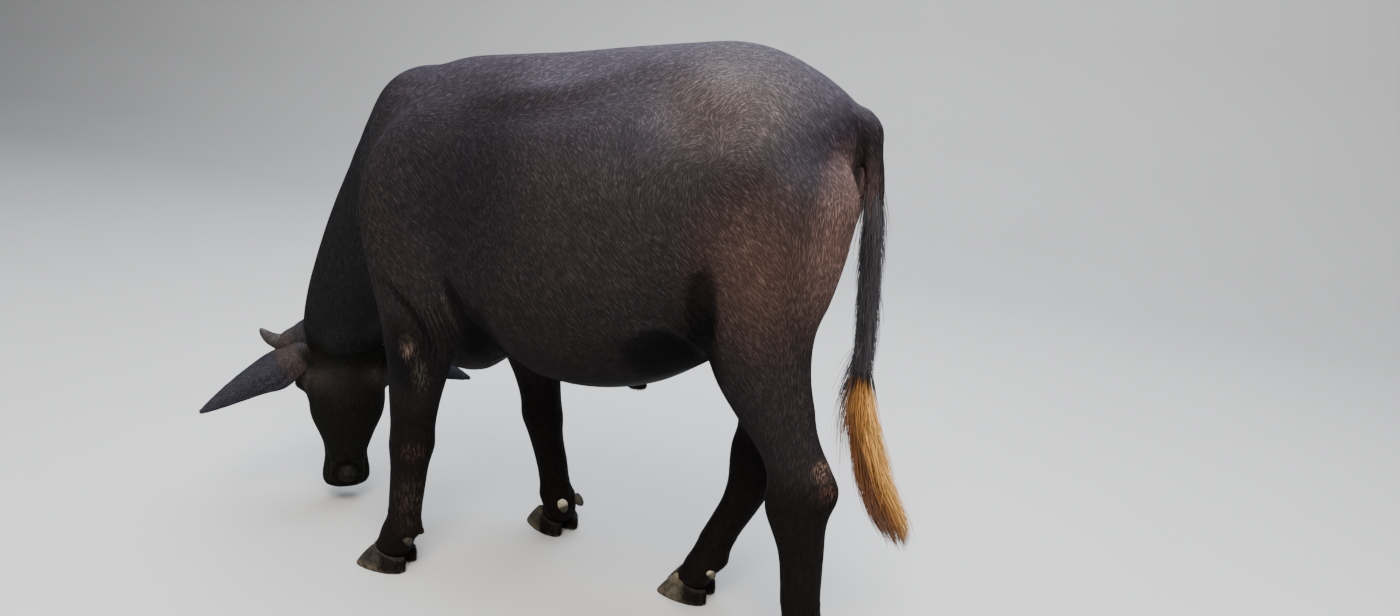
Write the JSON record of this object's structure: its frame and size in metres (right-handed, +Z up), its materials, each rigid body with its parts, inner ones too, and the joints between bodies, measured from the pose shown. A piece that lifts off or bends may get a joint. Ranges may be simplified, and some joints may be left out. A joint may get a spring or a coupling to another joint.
{
  "type": "water buffalo",
  "caption": "Life-size still model of a young water buffalo heifer grazing, head down and turned to its right, tail hanging with a pale switch.",
  "frame": {"origin": "on the floor under the middle of the model's box", "axes": "+Z up, +X from the head to the tail, -Y the animal's left side"},
  "size_m": [1.5878, 0.6058, 1.181],
  "materials": {
    "coat": "short black-brown coat with a faint sheen",
    "coat_dark": "short near-black coat",
    "ear": "thin slate-purple skin with sparse hair",
    "horn": "dull grey-brown horn",
    "eye": "wet dark brown",
    "hoof": "dusty grey-tan horn",
    "tail": "short black hair",
    "switch": "long gold to orange-brown hair"
  },
  "bodies": {
    "root": {"torso": "coat", "neck": "coat_dark", "head": "coat_dark", "ear_left": "ear", "ear_right": "ear", "horn_left": "horn", "horn_right": "horn", "eye_left": "eye", "eye_right": "eye", "foreleg_left_upper": "coat", "foreleg_left_lower": "coat_dark", "foreleg_left_claw_outer": "hoof", "foreleg_left_claw_inner": "hoof", "foreleg_left_dewclaw_outer": "hoof", "foreleg_left_dewclaw_inner": "hoof", "foreleg_right_upper": "coat", "foreleg_right_lower": "coat_dark", "foreleg_right_claw_outer": "hoof", "foreleg_right_claw_inner": "hoof", "foreleg_right_dewclaw_outer": "hoof", "foreleg_right_dewclaw_inner": "hoof", "hindleg_left_upper": "coat", "hindleg_left_lower": "coat_dark", "hindleg_left_claw_outer": "hoof", "hindleg_left_claw_inner": "hoof", "hindleg_left_dewclaw_outer": "hoof", "hindleg_left_dewclaw_inner": "hoof", "hindleg_right_upper": "coat", "hindleg_right_lower": "coat_dark", "hindleg_right_claw_outer": "hoof", "hindleg_right_claw_inner": "hoof", "hindleg_right_dewclaw_outer": "hoof", "hindleg_right_dewclaw_inner": "hoof", "tail_dock": "tail", "tail_switch": "switch"}
  },
  "joints": []
}
